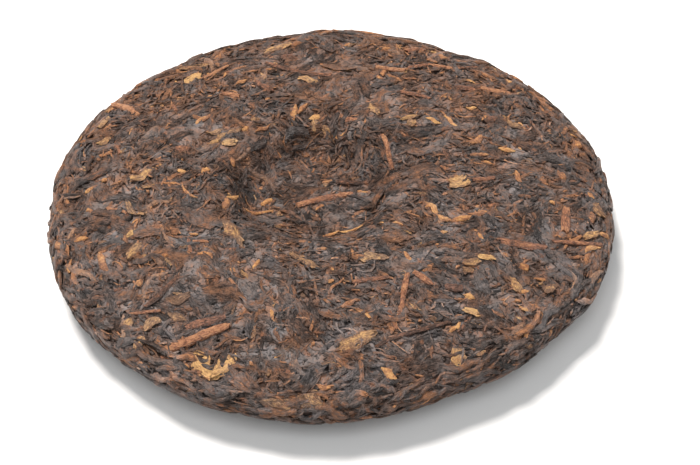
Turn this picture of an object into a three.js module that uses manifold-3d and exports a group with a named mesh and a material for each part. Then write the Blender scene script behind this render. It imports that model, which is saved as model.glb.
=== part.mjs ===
// A cake of compressed pu erh tea: a round, flat cake of pressed leaf with a rounded rim. It lies on
// its gently domed face. The upper face has the dent that the knot of the pressing cloth leaves.
// Millimetres, +Z up. The origin is the middle of the flat spot that the cake rests on, and the front
// of the cake, the side nearest to the viewer, is at -Y.
import * as THREE from "three";
import { mergeVertices } from "three/addons/utils/BufferGeometryUtils.js";
import Module from "manifold-3d";

// Driving dimensions.
const CAKE_RADIUS = 100;
const CREST_HEIGHT = 26;
const RIM_HEIGHT = 13.4;
const FOOT_RADIUS = 40;
const DENT_RADIUS = 35;
const DENT_DEPTH = 12.4;
const DENT_OFFSET = -7;

// Fineness of the core: the next row comes where the section has run ROW_LENGTH, or has turned by
// ROW_TURN degrees, or a share of both. COLUMNS go round the cake.
const ROW_LENGTH = 11;
const ROW_TURN = 32;
const COLUMNS = 54;

// Leaf pressed into the faces: how many pieces, their range of sizes, and how far they stand proud.
const LEAF_COUNT = 116;
const LEAF_LENGTH = [11, 24];
const LEAF_WIDTH = [3, 6];
const LEAF_PROUD = [0.35, 1.0];
const LEAF_SUNK = 1.6;
const LEAF_SEED = 357;

const wasm = await Module();
wasm.setup();

// Half of the cake's section, from the middle of the dent over the crest and round the rim to the
// middle of the foot. Each point is a radius and a height.
function cakeSection() {
  const floor = CREST_HEIGHT - DENT_DEPTH;
  const dent = [
    [0, floor],
    [DENT_RADIUS * 0.29, floor - 0.1],
    [DENT_RADIUS * 0.5, floor + 0.8],
    [DENT_RADIUS * 0.65, floor + DENT_DEPTH * 0.23],
    [DENT_RADIUS * 0.77, floor + DENT_DEPTH * 0.57],
    [DENT_RADIUS * 0.9, floor + DENT_DEPTH * 0.86],
    [DENT_RADIUS * 1.06, CREST_HEIGHT - 0.2],
  ];
  const upperFace = [
    [CAKE_RADIUS * 0.41, CREST_HEIGHT],
    [CAKE_RADIUS * 0.54, CREST_HEIGHT - 0.5],
    [CAKE_RADIUS * 0.69, CREST_HEIGHT - 2.0],
    [CAKE_RADIUS * 0.82, CREST_HEIGHT - 3.8],
    [CAKE_RADIUS * 0.91, CREST_HEIGHT - 5.6],
  ];
  const rim = [
    [CAKE_RADIUS * 0.965, RIM_HEIGHT + 5.2],
    [CAKE_RADIUS * 0.991, RIM_HEIGHT + 2.8],
    [CAKE_RADIUS, RIM_HEIGHT],
    [CAKE_RADIUS * 0.991, RIM_HEIGHT - 2.8],
    [CAKE_RADIUS * 0.965, RIM_HEIGHT - 5.0],
    [CAKE_RADIUS * 0.92, RIM_HEIGHT - 6.9],
  ];
  const underside = [
    [CAKE_RADIUS * 0.8, RIM_HEIGHT - 9.5],
    [CAKE_RADIUS * 0.62, RIM_HEIGHT - 12.0],
    [CAKE_RADIUS * 0.5, RIM_HEIGHT - 13.1],
    [FOOT_RADIUS, 0],
    [FOOT_RADIUS * 0.5, 0],
    [0, 0],
  ];
  const points = [...dent, ...upperFace, ...rim, ...underside];
  return new THREE.SplineCurve(points.map(([r, z]) => new THREE.Vector2(r, z)));
}

// How far the rim is out of round: waves round the cake, the height of each in millimetres and the
// direction of one of its crests in degrees.
const RIM_WAVES = [
  { count: 2, height: 0.9, crest: 24 },
  { count: 3, height: 0.4, crest: 0 },
  { count: 4, height: 0.35, crest: 70 },
  { count: 6, height: 0.4, crest: 30 },
  { count: 11, height: 0.3, crest: 12 },
];

// Folds that the twisted cloth leaves in the wall of the dent: direction, half width and depth.
const CLOTH_FOLDS = [
  { direction: 72, halfWidth: 9, depth: 2.2 },
  { direction: 128, halfWidth: 12, depth: 1.2 },
  { direction: 10, halfWidth: 12, depth: 1.4 },
  { direction: 215, halfWidth: 14, depth: 1.3 },
  { direction: 300, halfWidth: 13, depth: 1.0 },
];

const radians = THREE.MathUtils.degToRad;
const smoothstep = THREE.MathUtils.smoothstep;

// Moves a point of the round cake to its place in the real, uneven one: the rim waves, the middle
// lies DENT_OFFSET to one side, the cloth folds cut into the dent, and the upper face undulates.
function uneven(point) {
  const radius = Math.hypot(point.x, point.y);
  const share = radius / CAKE_RADIUS;
  const angle = Math.atan2(point.y, point.x);
  let wave = 0;
  for (const { count, height, crest } of RIM_WAVES) {
    wave += height * Math.cos(count * (angle - radians(crest)));
  }
  const stretch = 1 + (share * share * wave) / CAKE_RADIUS;
  const upper = smoothstep(point.z, RIM_HEIGHT - 4, RIM_HEIGHT + 4);
  let fold = 0;
  for (const { direction, halfWidth, depth } of CLOTH_FOLDS) {
    const away = Math.atan2(Math.sin(angle - radians(direction)), Math.cos(angle - radians(direction)));
    fold += depth * Math.exp(-((away / radians(halfWidth)) ** 2));
  }
  const onWall = Math.exp(-(((radius - DENT_RADIUS * 0.85) / (DENT_RADIUS * 0.28)) ** 2));
  const middle = (1 - Math.min(share, 1) ** 2) ** 2;
  const x = point.x * stretch + DENT_OFFSET * middle;
  const y = point.y * stretch;
  const undulation =
    0.5 * Math.sin(x / 11.3 + 1.1) * Math.cos(y / 13.7 - 0.4) + 0.35 * Math.sin(x / 6.1 - y / 7.3 + 2);
  return new THREE.Vector3(x, y, point.z + upper * (undulation - fold * onWall));
}

// The pressed mass of the cake, without the pieces of leaf that stand proud of it.
function coreGeometry(surface) {
  const { table, count, length } = surface;
  const rows = [new THREE.Vector2(0, table[count].z)];
  let used = 0;
  for (let i = count - 1; i > 0; i--) {
    const turn = Math.hypot(table[i].nr - table[i + 1].nr, table[i].nz - table[i + 1].nz);
    used += length / count / ROW_LENGTH + turn / radians(ROW_TURN);
    if (used >= 1) {
      rows.push(new THREE.Vector2(table[i].r, table[i].z));
      used = 0;
    }
  }
  rows.push(new THREE.Vector2(0, table[0].z));
  const core = new THREE.LatheGeometry(rows, COLUMNS);
  core.rotateX(Math.PI / 2);
  const place = core.getAttribute("position");
  for (let i = 0; i < place.count; i++) {
    const moved = uneven(new THREE.Vector3().fromBufferAttribute(place, i));
    place.setXYZ(i, moved.x, moved.y, Math.max(moved.z, 0));
  }
  return core;
}

// The surface of the round cake by the way from the middle of the dent: a table of radius, height and
// the outward normal at every TABLE_STEP of the section's length.
const TABLE_STEP = 0.5;
function surfaceTable(section) {
  const length = section.getLength();
  const count = Math.round(length / TABLE_STEP);
  const table = [];
  for (let i = 0; i <= count; i++) {
    const p = section.getPointAt(i / count);
    const t = section.getTangentAt(i / count);
    table.push({ r: Math.max(p.x, 0), z: Math.max(p.y, 0), nr: -t.y, nz: t.x });
  }
  return { length, count, table };
}

// The point of the real surface that lies `way` from the middle of the dent, in direction `angle`,
// and `above` over the surface.
function onSurface(surface, way, angle, above) {
  const at = THREE.MathUtils.clamp((way / surface.length) * surface.count, 0, surface.count);
  const { r, z, nr, nz } = surface.table[Math.round(at)];
  const out = r + nr * above;
  return uneven(new THREE.Vector3(out * Math.cos(angle), out * Math.sin(angle), z + nz * above));
}

// A piece's own flat frame is laid on the cake like a map: ways from the nearer pole stay true, and
// the sideways scale is made true at the piece's middle.
function layDown(surface, piece, along, across, above) {
  const fromFoot = piece.way > surface.length / 2;
  const way = fromFoot ? surface.length - piece.way : piece.way;
  const radius = Math.max(surface.table[Math.round((piece.way / surface.length) * surface.count)].r, 1);
  const sense = fromFoot ? -1 : 1;
  const outward = along * Math.cos(piece.turn) - across * Math.sin(piece.turn);
  const sideways = (along * Math.sin(piece.turn) + across * Math.cos(piece.turn)) * (way / radius);
  const newWay = Math.hypot(way + outward, sideways);
  const newAngle = piece.angle + sense * Math.atan2(sideways, way + outward);
  return onSurface(surface, fromFoot ? surface.length - newWay : newWay, newAngle, above);
}

// A piece of leaf or stalk with few sides: a bent bar whose ring has a proud back and a sunk belly.
// Its width swells from the ends to the middle, less so the blunter it is.
const LEAF_STATIONS = [-0.5, -0.2, 0.2, 0.5];
const LEAF_RING = [
  [-0.5, -1],
  [-0.32, 1],
  [0.3, 0.8],
  [0.5, -1],
];
function leafGeometry(surface, piece) {
  const places = [];
  for (const station of LEAF_STATIONS) {
    const swell = piece.blunt + (1 - piece.blunt) * Math.cos(station * Math.PI * 0.9);
    const sideStep = piece.bend * piece.length * (station * station - 0.125);
    for (const [across, up] of LEAF_RING) {
      const above = up > 0 ? up * piece.proud * swell : up * LEAF_SUNK;
      const p = layDown(surface, piece, station * piece.length, sideStep + across * piece.width * swell, above);
      places.push(p.x, p.y, p.z);
    }
  }
  const sides = LEAF_RING.length;
  const last = (LEAF_STATIONS.length - 1) * sides;
  const faces = [];
  for (let i = 0; i < last; i += sides) {
    for (let k = 0; k < sides; k++) {
      const next = (k + 1) % sides;
      faces.push(i + k, i + sides + k, i + next, i + next, i + sides + k, i + sides + next);
    }
  }
  for (let k = 1; k < sides - 1; k++) {
    faces.push(0, k, k + 1, last, last + k + 1, last + k);
  }
  const leaf = new THREE.BufferGeometry();
  leaf.setAttribute("position", new THREE.Float32BufferAttribute(places, 3));
  leaf.setIndex(faces);
  return leaf;
}

// The largest pieces of the upper face, where they lie: x and y of the middle, direction in degrees,
// length, width, how far it stands proud, how blunt its ends are, and its bend.
const NOTED_PIECES = [
  [-1, 2.5, 17, 17, 3, 1.8, 0.9, 0],
  [8, 10, 2, 12, 2.4, 1.2, 0.8, 0],
  [21, 15, 92, 20, 2.2, 1.1, 0.8, 0.1],
  [-43, -72.5, 19, 21, 4, 1.2, 0.9, 0],
  [46, -2, 100, 10, 7, 0.9, 0.6, 0],
  [37.5, -17, 120, 12, 3.4, 1.0, 0.7, 0.2],
  [47.5, -20.5, 13, 15, 3.6, 1.0, 0.7, 0.3],
  [66, -21.5, 175, 17, 3.6, 1.1, 0.9, 0],
  [82.5, -17, 86, 14, 3.8, 1.0, 0.9, 0],
  [-61.5, -28.5, 15, 13, 4.2, 1.0, 0.3, 0.1],
  [-33.5, -19, 60, 9, 6, 0.8, 0.6, 0],
  [-9, -32, 145, 11, 5.4, 0.8, 0.5, 0.2],
  [-37, -83.5, 10, 12, 7, 0.8, 0.6, 0],
  [26, -72.5, 22, 26, 2.4, 0.9, 0.9, 0],
  [23.5, -56.5, 80, 17, 2.4, 1.0, 0.9, 0],
  [41, -82.5, 95, 9, 4.4, 0.9, 0.5, 0],
  [19, -87.5, 135, 9, 4.8, 0.9, 0.5, 0],
  [-76.5, -29, 95, 10, 5, 1.0, 0.4, 0],
];

// Where a noted piece lies on the surface table: its place on the round cake is found by taking off
// the shift that the uneven one adds, a few times over.
function notedPieces(surface) {
  return NOTED_PIECES.map(([x, y, direction, length, width, proud, blunt, bend]) => {
    const round = new THREE.Vector3(x, y, CREST_HEIGHT);
    for (let i = 0; i < 4; i++) {
      const there = uneven(round);
      round.x += x - there.x;
      round.y += y - there.y;
    }
    const radius = Math.hypot(round.x, round.y);
    const at = surface.table.findIndex(({ r }) => r >= radius);
    const angle = Math.atan2(round.y, round.x);
    const turn = radians(direction) - angle;
    return { way: (at / surface.count) * surface.length, angle, turn, length, width, proud, bend, blunt };
  });
}

// Every other piece: spread evenly by taking ways and directions in equal steps of area with a golden
// turn, the largest first, and the rest drawn at random from the seed.
function scatteredPieces(surface) {
  let state = LEAF_SEED;
  const random = () => {
    state = (Math.imul(state, 1664525) + 1013904223) >>> 0;
    return state / 2 ** 32;
  };
  const between = ([low, high], share) => low + (high - low) * share;
  const areas = [0];
  for (let i = 1; i <= surface.count; i++) {
    areas.push(areas[i - 1] + surface.table[i].r);
  }
  const whole = areas[areas.length - 1];
  const golden = Math.PI * (3 - Math.sqrt(5));
  const pieces = [];
  for (let i = 0; i < LEAF_COUNT; i++) {
    const wanted = ((i + 0.5) / LEAF_COUNT) * whole;
    const at = areas.findIndex((a) => a >= wanted);
    const size = 1 - ((i * 7) % LEAF_COUNT) / LEAF_COUNT;
    const piece = {
      way: (at / surface.count) * surface.length,
      angle: i * golden + (random() - 0.5) * 0.2,
      turn: random() * Math.PI,
      length: between(LEAF_LENGTH, size * 0.7 + random() * 0.3),
      width: between(LEAF_WIDTH, random()),
      proud: between(LEAF_PROUD, random()),
      bend: (random() - 0.5) * 0.5,
      blunt: 0.3 + random() * 0.5,
    };
    const { r, z } = surface.table[at];
    if (z > 0.6 || r > FOOT_RADIUS * 1.25) pieces.push(piece);
  }
  return pieces;
}

// A closed geometry as a solid: only its shared places count, so the rest is dropped.
function solidOf(geometry) {
  const plain = geometry.clone();
  plain.deleteAttribute("normal");
  plain.deleteAttribute("uv");
  const merged = mergeVertices(plain, 1e-4);
  const vertProperties = new Float32Array(merged.getAttribute("position").array);
  const triVerts = new Uint32Array(merged.index.array);
  return new wasm.Manifold(new wasm.Mesh({ numProp: 3, vertProperties, triVerts }));
}

function geometryOf(solid) {
  const mesh = solid.getMesh();
  const places = new Float32Array(mesh.numVert * 3);
  for (let i = 0; i < mesh.numVert; i++) {
    places.set(mesh.vertProperties.subarray(i * mesh.numProp, i * mesh.numProp + 3), i * 3);
  }
  const geometry = new THREE.BufferGeometry();
  geometry.setAttribute("position", new THREE.BufferAttribute(places, 3));
  geometry.setIndex(new THREE.BufferAttribute(new Uint32Array(mesh.triVerts), 1));
  geometry.computeVertexNormals();
  return geometry;
}

// What the cake rests on: leaf that would reach below it is pressed flat.
function floorGeometry() {
  const depth = 20;
  return new THREE.BoxGeometry(CAKE_RADIUS * 3, CAKE_RADIUS * 3, depth).translate(0, 0, -depth / 2);
}

function teaCake() {
  const section = cakeSection();
  const surface = surfaceTable(section);
  let solid = solidOf(coreGeometry(surface));
  for (const piece of [...notedPieces(surface), ...scatteredPieces(surface)]) {
    solid = solid.add(solidOf(leafGeometry(surface, piece)));
  }
  solid = solid.subtract(solidOf(floorGeometry()));
  const leaf = new THREE.MeshStandardMaterial({ color: 0x40352f, roughness: 0.7, metalness: 0 });
  const mesh = new THREE.Mesh(geometryOf(solid), leaf);
  mesh.name = "tea_cake";
  return mesh;
}

const group = new THREE.Group();
group.add(teaCake());

export default group;
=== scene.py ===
import bpy
import numpy as np
from mathutils import Matrix


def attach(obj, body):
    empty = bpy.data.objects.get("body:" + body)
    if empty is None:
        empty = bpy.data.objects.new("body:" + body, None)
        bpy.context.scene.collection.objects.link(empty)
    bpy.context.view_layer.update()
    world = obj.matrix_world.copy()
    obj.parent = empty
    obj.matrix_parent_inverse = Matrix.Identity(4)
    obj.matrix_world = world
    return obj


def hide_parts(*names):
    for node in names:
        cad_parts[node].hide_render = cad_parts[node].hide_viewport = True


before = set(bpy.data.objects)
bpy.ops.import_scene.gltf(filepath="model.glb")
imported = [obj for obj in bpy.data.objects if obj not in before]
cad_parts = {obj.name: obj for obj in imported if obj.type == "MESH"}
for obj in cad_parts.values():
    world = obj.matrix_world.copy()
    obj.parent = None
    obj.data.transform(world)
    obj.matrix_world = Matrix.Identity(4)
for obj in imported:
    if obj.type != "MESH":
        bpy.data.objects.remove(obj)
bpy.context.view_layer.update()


# The view
# The cake is looked down on from the front, with a long lens, as on a table at arm's length. The view
# comes first, because the pieces that stand out are placed by where they are seen in it.
MM = 0.001
PHOTO_SIZE = (700, 465)
FOCAL_PIXELS = 1480.0
VIEW_ELEVATION = np.radians(42.2)
VIEW_DISTANCE = 533 * MM
VIEW_TARGET = np.array([0.0, 0.0, 13 * MM])
TARGET_PIXEL = (330.7, 202.5)
SENSOR_WIDTH = 36.0
NEAREST_SHOWN = 10 * MM


def looking(place, back):
    """The matrix of a camera or a light at the place that looks away from the back direction. Its right
    is level, and its up is square to both."""
    right = np.cross([0.0, 0.0, 1.0], back)
    right /= np.linalg.norm(right)
    turned = np.eye(4)
    turned[:3] = np.stack([right, np.cross(back, right), back, place], axis=1)
    return turned


view_back = np.array([0.0, -np.cos(VIEW_ELEVATION), np.sin(VIEW_ELEVATION)])
view_up = np.array([0.0, np.sin(VIEW_ELEVATION), np.cos(VIEW_ELEVATION)])
view_right = np.array([1.0, 0.0, 0.0])
eye = VIEW_TARGET + VIEW_DISTANCE * view_back
pixel_size = VIEW_DISTANCE / FOCAL_PIXELS
middle_seen = (
    VIEW_TARGET
    + view_right * pixel_size * (PHOTO_SIZE[0] / 2 - TARGET_PIXEL[0])
    - view_up * pixel_size * (PHOTO_SIZE[1] / 2 - TARGET_PIXEL[1])
)
lens_back = (eye - middle_seen) / np.linalg.norm(eye - middle_seen)
lens = looking(eye, lens_back)
lens_right = lens[:3, 0]
lens_up = lens[:3, 1]

camera_data = bpy.data.cameras.new("camera")
camera_data.sensor_width = SENSOR_WIDTH
camera_data.lens = FOCAL_PIXELS / PHOTO_SIZE[0] * SENSOR_WIDTH
camera_data.clip_start = NEAREST_SHOWN
camera = bpy.data.objects.new("camera", camera_data)
bpy.context.scene.collection.objects.link(camera)
camera.matrix_world = Matrix(lens.tolist())
bpy.context.scene.camera = camera


def seen_at(points):
    """The pixel of the photograph where each point shows, and how far it lies from the lens: the
    sideways and upward parts of its way from the lens, over the part straight ahead, times the focal
    length."""
    way = points - eye
    ahead = -(way @ lens_back)
    across = PHOTO_SIZE[0] / 2 + FOCAL_PIXELS * (way @ lens_right) / ahead
    down = PHOTO_SIZE[1] / 2 - FOCAL_PIXELS * (way @ lens_up) / ahead
    return across, down, ahead


# The pressed mass
# The cake is tea leaf that was steamed in a cloth bag, pressed under a stone and dried. Under the
# leaf that shows lies the same leaf, packed to a dark crumbly mass. It follows the cake's form.
CAKE_RADIUS = 100.0
CREST_HEIGHT = 26.0
RIM_HEIGHT = 13.4
FOOT_RADIUS = 40.0
DENT_RADIUS = 35.0
DENT_DEPTH = 12.4
DENT_OFFSET = -7.0
dent_floor = CREST_HEIGHT - DENT_DEPTH

# Half of the section in millimetres: the dent, the upper face, the rim and the underside.
section_points = np.array([
    (0, dent_floor),
    (DENT_RADIUS * 0.29, dent_floor - 0.1),
    (DENT_RADIUS * 0.5, dent_floor + 0.8),
    (DENT_RADIUS * 0.65, dent_floor + DENT_DEPTH * 0.23),
    (DENT_RADIUS * 0.77, dent_floor + DENT_DEPTH * 0.57),
    (DENT_RADIUS * 0.9, dent_floor + DENT_DEPTH * 0.86),
    (DENT_RADIUS * 1.06, CREST_HEIGHT - 0.2),
    (CAKE_RADIUS * 0.41, CREST_HEIGHT),
    (CAKE_RADIUS * 0.54, CREST_HEIGHT - 0.5),
    (CAKE_RADIUS * 0.69, CREST_HEIGHT - 2.0),
    (CAKE_RADIUS * 0.82, CREST_HEIGHT - 3.8),
    (CAKE_RADIUS * 0.91, CREST_HEIGHT - 5.6),
    (CAKE_RADIUS * 0.965, RIM_HEIGHT + 5.2),
    (CAKE_RADIUS * 0.991, RIM_HEIGHT + 2.8),
    (CAKE_RADIUS, RIM_HEIGHT),
    (CAKE_RADIUS * 0.991, RIM_HEIGHT - 2.8),
    (CAKE_RADIUS * 0.965, RIM_HEIGHT - 5.0),
    (CAKE_RADIUS * 0.92, RIM_HEIGHT - 6.9),
    (CAKE_RADIUS * 0.8, RIM_HEIGHT - 9.5),
    (CAKE_RADIUS * 0.62, RIM_HEIGHT - 12.0),
    (CAKE_RADIUS * 0.5, RIM_HEIGHT - 13.1),
    (FOOT_RADIUS, 0),
    (FOOT_RADIUS * 0.5, 0),
    (0, 0),
])

# The rim's waves: how many go round, how high they are in millimetres, where one crest lies.
RIM_WAVES = [(2, 0.9, 24), (3, 0.4, 0), (4, 0.35, 70), (6, 0.4, 30), (11, 0.3, 12)]
# The folds that the twisted cloth left in the dent's wall: direction, half width, depth.
CLOTH_FOLDS = [
    (72, 4.5, 3.0), (53, 3.5, 1.8), (98, 5, 1.0), (128, 12, 1.2),
    (10, 12, 1.4), (190, 6, 1.4), (215, 14, 1.3), (300, 13, 1.0),
]
# The wall's middle and half width, as shares of the dent's radius, and the height in which the
# unevenness of the upper face fades out over the rim.
WALL_MIDDLE = 0.85
WALL_SPREAD = 0.28
UPPER_FADE = 4
CURVE_STEPS = 40


def smooth_curve(points, per_stretch):
    """A curve through the points: on each stretch a cubic whose slope at either end is half of the
    step between the two neighbouring points."""
    before = np.vstack([points[:1], points[:-1]])[:-1]
    here = points[:-1]
    there = points[1:]
    after = np.vstack([points[1:], points[-1:]])[1:]
    t = np.linspace(0, 1, per_stretch, endpoint=False)[None, :, None]
    here, there, before, after = (a[:, None, :] for a in (here, there, before, after))
    curve = 0.5 * (
        2 * here
        + (there - before) * t
        + (2 * before - 5 * here + 4 * there - after) * t**2
        + (3 * here - before - 3 * there + after) * t**3
    )
    return np.vstack([curve.reshape(-1, 2), points[-1:]])


section = smooth_curve(section_points, CURVE_STEPS)
steps = np.linalg.norm(np.diff(section, axis=0), axis=1)
section_ways = np.concatenate([[0], np.cumsum(steps)])
SECTION_LENGTH = section_ways[-1]
slopes = np.gradient(section, section_ways, axis=0)
slopes /= np.linalg.norm(slopes, axis=1)[:, None]


def uneven(x, y, z):
    """The round cake made uneven: it is stretched by the rim's waves, its middle is moved sideways,
    the cloth folds are cut into the dent, and the upper face rises and falls in two crossed waves."""
    radius = np.hypot(x, y)
    share = radius / CAKE_RADIUS
    angle = np.arctan2(y, x)
    wave = sum(h * np.cos(n * (angle - np.radians(crest))) for n, h, crest in RIM_WAVES)
    stretch = 1 + share**2 * wave / CAKE_RADIUS
    upper = np.clip((z - RIM_HEIGHT + UPPER_FADE) / (2 * UPPER_FADE), 0, 1)
    upper = upper * upper * (3 - 2 * upper)
    fold = 0
    for direction, half_width, depth in CLOTH_FOLDS:
        away = np.angle(np.exp(1j * (angle - np.radians(direction))))
        fold = fold + depth * np.exp(-((away / np.radians(half_width)) ** 2))
    from_wall = (radius - DENT_RADIUS * WALL_MIDDLE) / (DENT_RADIUS * WALL_SPREAD)
    on_wall = np.exp(-(from_wall**2))
    middle = (1 - np.minimum(share, 1) ** 2) ** 2
    x = x * stretch + DENT_OFFSET * middle
    y = y * stretch
    undulation = 0.5 * np.sin(x / 11.3 + 1.1) * np.cos(y / 13.7 - 0.4)
    undulation = undulation + 0.35 * np.sin(x / 6.1 - y / 7.3 + 2)
    return x, y, z + upper * (undulation - fold * on_wall)


def radius_at(way):
    """The section's radius where it has run the way from the middle of the dent."""
    return np.interp(way, section_ways, section[:, 0])


def on_surface(way, angle, above):
    """The place, in metres, that lies a way along the section from the middle of the dent, turned by
    the angle, and raised above the surface along its normal."""
    r = radius_at(way)
    z = np.interp(way, section_ways, section[:, 1])
    slope_r = np.interp(way, section_ways, slopes[:, 0])
    slope_z = np.interp(way, section_ways, slopes[:, 1])
    out = np.maximum(r - slope_z * above, 0)
    x, y, z = uneven(out * np.cos(angle), out * np.sin(angle), z + slope_r * above)
    return np.stack([x, y, z], axis=-1) * MM


RIPPLE_WAVES = 28
RIPPLE_RANGE = (0.6, 1.6)


def ripple(points, rng, wavelength):
    """Soft unevenness between about -1 and 1: the sum of sine waves in random directions, over the root
    of their number. Their lengths are the given one times a factor drawn from the range."""
    directions = rng.normal(size=(RIPPLE_WAVES, 3))
    directions /= np.linalg.norm(directions, axis=1)[:, None]
    directions *= 2 * np.pi / (wavelength * rng.uniform(*RIPPLE_RANGE, (RIPPLE_WAVES, 1)))
    phases = rng.uniform(0, 2 * np.pi, RIPPLE_WAVES)
    total = np.zeros(points.shape[:-1])
    for direction, phase in zip(directions, phases):
        total += np.sin(points @ direction + phase)
    return total / np.sqrt(RIPPLE_WAVES)


def new_piece(name, points, faces, sizes, uv_maps=(), values=()):
    """A mesh from arrays: points, the corner numbers of all faces in one row, the number of corners
    of each face, UV maps by corner and single values by point."""
    mesh = bpy.data.meshes.new(name)
    mesh.vertices.add(len(points))
    mesh.vertices.foreach_set("co", np.ascontiguousarray(points, dtype=np.float32).ravel())
    mesh.loops.add(len(faces))
    mesh.loops.foreach_set("vertex_index", np.ascontiguousarray(faces, dtype=np.int32))
    mesh.polygons.add(len(sizes))
    starts = np.concatenate([[0], np.cumsum(sizes)[:-1]])
    mesh.polygons.foreach_set("loop_start", np.ascontiguousarray(starts, dtype=np.int32))
    mesh.polygons.foreach_set("loop_total", np.ascontiguousarray(sizes, dtype=np.int32))
    mesh.update(calc_edges=True)
    for map_name, corners in uv_maps:
        layer = mesh.uv_layers.new(name=map_name)
        layer.data.foreach_set("uv", np.ascontiguousarray(corners, dtype=np.float32).ravel())
    for value_name, value in values:
        attribute = mesh.attributes.new(value_name, "FLOAT", "POINT")
        attribute.data.foreach_set("value", np.ascontiguousarray(value, dtype=np.float32).ravel())
    mesh.shade_smooth()
    piece = bpy.data.objects.new(name, mesh)
    bpy.context.scene.collection.objects.link(piece)
    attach(piece, "root")
    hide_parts("tea_cake")
    return piece


# The mass in millimetres: how deep it lies under the smooth form, how much deeper below and at the
# rim, how far it stays above the floor, and the heights and widths of its crumbly relief.
MASS_ROWS = 190
MASS_COLUMNS = 520
MASS_DEPTH = 0.5
UNDERSIDE_SINK = 0.47
RIM_DEPTH = 1.1
FLOOR_CLEARANCE = 0.4
CRUMB_RELIEF = [(0.3, 9.0), (0.2, 3.4)]
FELT_RISE = 0.2
CRUMB_TOP = 0.6
FELT_WIDTH = 34.0
FELT_SEED = 12
# Where the underside, the dent's edge and the rim begin, and how far each takes to set in: as shares
# of the section's length, of the dent's radius and of the cake's radius.
UNDERSIDE_BAND = (0.56, 0.1)
DENT_BAND = (0.85, 0.3)
RIM_BAND = (0.84, 0.1)
# Tones go from 0, dark, to 1, pale. Hues go from 0, grey, to 1, rust.
MASS_TONE = 0.4
# Painted shade: the tone is this much darker in the dent, as the hollow's shade.
DENT_PAINTED_SHADE = 0.08
MEAN_HUE = 0.44
DENT_WARMTH = 0.1
FAR_WARMTH = 0.24
NEAR_LIMIT = -0.4


def rising(value, start, width):
    """0 up to the start, 1 from a width past it, and straight in between."""
    return np.clip((value - start) / width, 0, 1)


def sunk_below(way):
    """How much deeper the leaf lies on the underside than on the upper side."""
    return UNDERSIDE_SINK * rising(way / SECTION_LENGTH, *UNDERSIDE_BAND)


def smoothness(points):
    """From about -1 to 1 over a few centimetres: high where broad leaf lies felted, low where small
    bits lie loose."""
    return np.clip(ripple(points, np.random.default_rng(FELT_SEED), FELT_WIDTH), -1, 1)


def in_dent(way):
    """1 inside the dent and 0 outside it."""
    return (1 - rising(radius_at(way) / DENT_RADIUS, *DENT_BAND)) * (way < SECTION_LENGTH / 2)


def leaf_hue(way, angle):
    """The mean hue of leaf. It is browner in the dent, and from the near side to the far side it gets
    browner with the distance, except for an even strip along the near rim."""
    far = radius_at(way) * np.sin(angle) / CAKE_RADIUS
    return MEAN_HUE + FAR_WARMTH * np.maximum(far, NEAR_LIMIT) + DENT_WARMTH * in_dent(way)


def at_rim(way):
    """1 on the rim, where the press barely reached the leaf and it lies looser, and 0 on the faces."""
    return rising(radius_at(way) / CAKE_RADIUS, *RIM_BAND)


mass_rng = np.random.default_rng(11)
mass_ways = np.linspace(0, SECTION_LENGTH, MASS_ROWS + 2)[1:-1]
mass_angles = np.arange(MASS_COLUMNS) * 2 * np.pi / MASS_COLUMNS
mass_way, mass_angle = np.meshgrid(mass_ways, mass_angles, indexing="ij")
mass_smooth = on_surface(mass_way, mass_angle, 0) / MM
mass_crumb = 0
for height, width in CRUMB_RELIEF:
    mass_crumb = mass_crumb + height * ripple(mass_smooth, mass_rng, width)
mass_crumb = mass_crumb + FELT_RISE * smoothness(mass_smooth)
mass_crumb = np.minimum(mass_crumb, CRUMB_TOP) - MASS_DEPTH - RIM_DEPTH * at_rim(mass_way)
mass_grid = on_surface(mass_way, mass_angle, mass_crumb - sunk_below(mass_way))
mass_poles = on_surface(np.array([0.0, SECTION_LENGTH]), np.zeros(2), np.full(2, -MASS_DEPTH))
mass_points = np.vstack([mass_grid.reshape(-1, 3), mass_poles])
mass_points[:, 2] = np.maximum(mass_points[:, 2], FLOOR_CLEARANCE * MM)
row, column = np.meshgrid(np.arange(MASS_ROWS - 1), np.arange(MASS_COLUMNS), indexing="ij")
beside = (column + 1) % MASS_COLUMNS
mass_quads = np.stack(
    [
        row * MASS_COLUMNS + column,
        (row + 1) * MASS_COLUMNS + column,
        (row + 1) * MASS_COLUMNS + beside,
        row * MASS_COLUMNS + beside,
    ],
    axis=-1,
).reshape(-1, 4)
around = np.arange(MASS_COLUMNS)
last_row = (MASS_ROWS - 1) * MASS_COLUMNS
top_pole = MASS_ROWS * MASS_COLUMNS
top_fan = np.stack([np.full_like(around, top_pole), around, (around + 1) % MASS_COLUMNS], axis=-1)
foot_fan = np.stack(
    [np.full_like(around, top_pole + 1), last_row + (around + 1) % MASS_COLUMNS, last_row + around], axis=-1
)
mass_faces = np.concatenate([mass_quads.ravel(), top_fan.ravel(), foot_fan.ravel()])
mass_sizes = np.concatenate([np.full(len(mass_quads), 4), np.full(2 * MASS_COLUMNS, 3)])
mass_in_dent = np.concatenate([in_dent(mass_way).ravel(), [1.0, 0.0]])
# Painted shade: the mass is darker in the dent.
mass_tone = MASS_TONE - DENT_PAINTED_SHADE * mass_in_dent
pole_hues = [MEAN_HUE + DENT_WARMTH, MEAN_HUE]
mass_hue = np.concatenate([leaf_hue(mass_way, mass_angle).ravel(), pole_hues])
mass_values = [("tone", mass_tone), ("hue", mass_hue)]
mass = new_piece("pressed_mass", mass_points, mass_faces, mass_sizes, values=mass_values)


def colour(red, green, blue):
    """A shade as the eye reads it on a screen, 0 to 255, turned into the light that it stands for."""
    shade = np.array([red, green, blue]) / 255
    light = np.where(shade <= 0.04045, shade / 12.92, ((shade + 0.055) / 1.055) ** 2.4)
    return (*light.tolist(), 1.0)


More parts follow.
